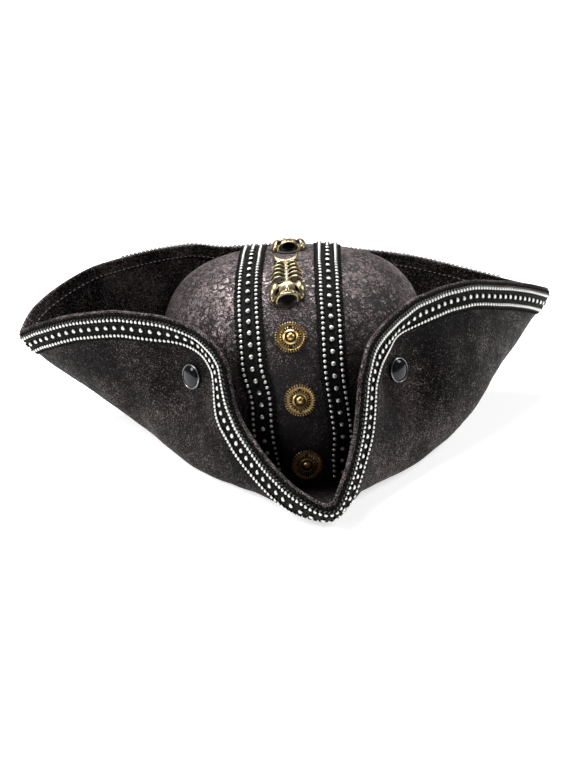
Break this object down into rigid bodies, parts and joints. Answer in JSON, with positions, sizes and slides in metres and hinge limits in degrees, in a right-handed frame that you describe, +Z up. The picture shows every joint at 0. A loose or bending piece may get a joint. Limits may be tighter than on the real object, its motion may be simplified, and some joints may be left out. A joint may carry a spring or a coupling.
{
  "type": "tricorn hat",
  "caption": "Leather tricorn hat with a domed crown, a turned-up three-cornered brim, beaded woven trim, toothed buttons and fishbone charms.",
  "frame": {"origin": "middle of the hat's footprint, at the height of the flat ring that the hat rests on", "axes": "+X towards the wearer's left side, +Y towards the back of the hat, +Z up; the spout of the brim points to -Y"},
  "size_m": [0.38, 0.3012, 0.1345],
  "materials": {
    "crown_leather": "crackled, slightly metallic grey-brown",
    "brim_leather": "fine-grained charcoal, satin",
    "woven_ribbon": "black woven braid with silver beads and studs",
    "antique_brass": "antiqued, dark in the hollows",
    "black_enamel": "glossy black"
  },
  "bodies": {
    "root": {"crown": "crown_leather", "brim": "brim_leather", "brim_trim": "woven_ribbon", "crown_band_left": "woven_ribbon", "crown_band_right": "woven_ribbon", "button_upper": "antique_brass", "button_middle": "antique_brass", "button_lower": "antique_brass", "fish_front": "antique_brass", "fish_rear": "antique_brass", "snap_left": "black_enamel", "snap_right": "black_enamel"}
  },
  "joints": []
}
